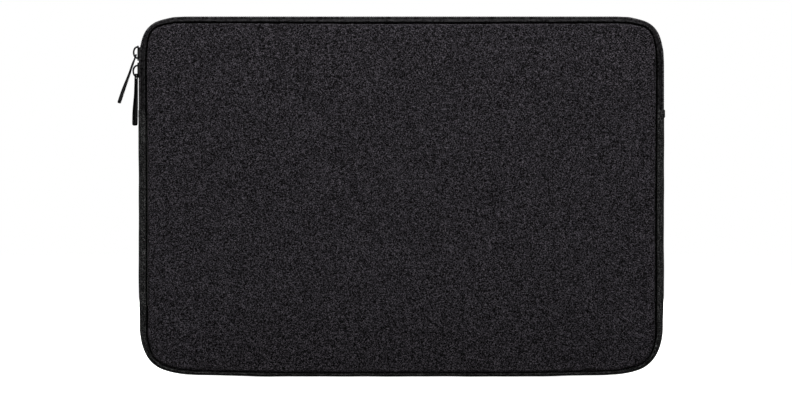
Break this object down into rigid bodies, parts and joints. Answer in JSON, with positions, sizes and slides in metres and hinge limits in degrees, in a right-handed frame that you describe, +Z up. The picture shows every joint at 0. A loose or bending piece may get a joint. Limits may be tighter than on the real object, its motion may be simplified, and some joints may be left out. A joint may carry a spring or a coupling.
{
  "type": "laptop sleeve",
  "caption": "Padded cloth laptop sleeve with rounded corners, a wrap-around coil zip with paired sliders and slim pull tabs.",
  "frame": {"origin": "middle of the bottom edge, halfway through the thickness", "axes": "+X along the width, +Z up towards the zipped top edge, -Y out of the front panel"},
  "size_m": [0.4165, 0.026, 0.2737],
  "materials": {
    "shell_cloth": "fine heathered charcoal woven polyester, matt",
    "gusset_cloth": "plain woven polyester, matt",
    "foam": "closed-cell foam padding",
    "lining": "short plush pile",
    "binding": "ribbed binding tape",
    "zip_tape": "woven zip tape",
    "coil": "nylon monofilament coil",
    "slider_metal": "satin black enamel on zinc",
    "pull_metal": "satin black enamel on zinc"
  },
  "bodies": {
    "sleeve": {"front_shell_lower": "shell_cloth", "front_foam_lower": "foam", "front_lining_lower": "lining", "front_binding_lower": "binding", "back_shell": "shell_cloth", "back_foam": "foam", "back_lining": "lining", "back_binding": "binding", "gusset_shell": "gusset_cloth", "gusset_foam": "foam", "gusset_lining": "lining", "back_tape": "zip_tape", "back_coil": "coil"},
    "mouth_flap": {"front_shell_flap": "shell_cloth", "front_foam_flap": "foam", "front_lining_flap": "lining", "front_binding_flap": "binding", "front_tape": "zip_tape", "front_coil": "coil"},
    "upper_slider": {"upper_slider": "slider_metal", "upper_bail": "slider_metal"},
    "lower_slider": {"lower_slider": "slider_metal", "lower_bail": "slider_metal"},
    "upper_pull": {"upper_pull": "pull_metal"},
    "lower_pull": {"lower_pull": "pull_metal"}
  },
  "joints": [
    {"name": "mouth_open", "type": "hinge", "parent": "sleeve", "child": "mouth_flap", "pos_m": [0, -0.013, 0.203], "axis": [1, 0, 0], "range_deg": [0, 75]},
    {"name": "upper_slider_travel", "type": "hinge", "parent": "sleeve", "child": "upper_slider", "pos_m": [-0.172, 0, 0.246], "axis": [0, 1, 0], "range_deg": [0, 88], "deforming": ["back_coil"]},
    {"name": "lower_slider_travel", "type": "slide", "parent": "sleeve", "child": "lower_slider", "axis": [0, 0, -1], "range_m": [0, 0.023], "deforming": ["front_coil"]},
    {"name": "upper_pull_swing", "type": "hinge", "parent": "upper_slider", "child": "upper_pull", "pos_m": [-0.2019, 0, 0.24465], "axis": [0, 1, 0], "range_deg": [0, 100]},
    {"name": "lower_pull_swing", "type": "hinge", "parent": "lower_slider", "child": "lower_pull", "pos_m": [-0.2019, 0, 0.22985], "axis": [0, 1, 0], "range_deg": [0, 21]}
  ]
}
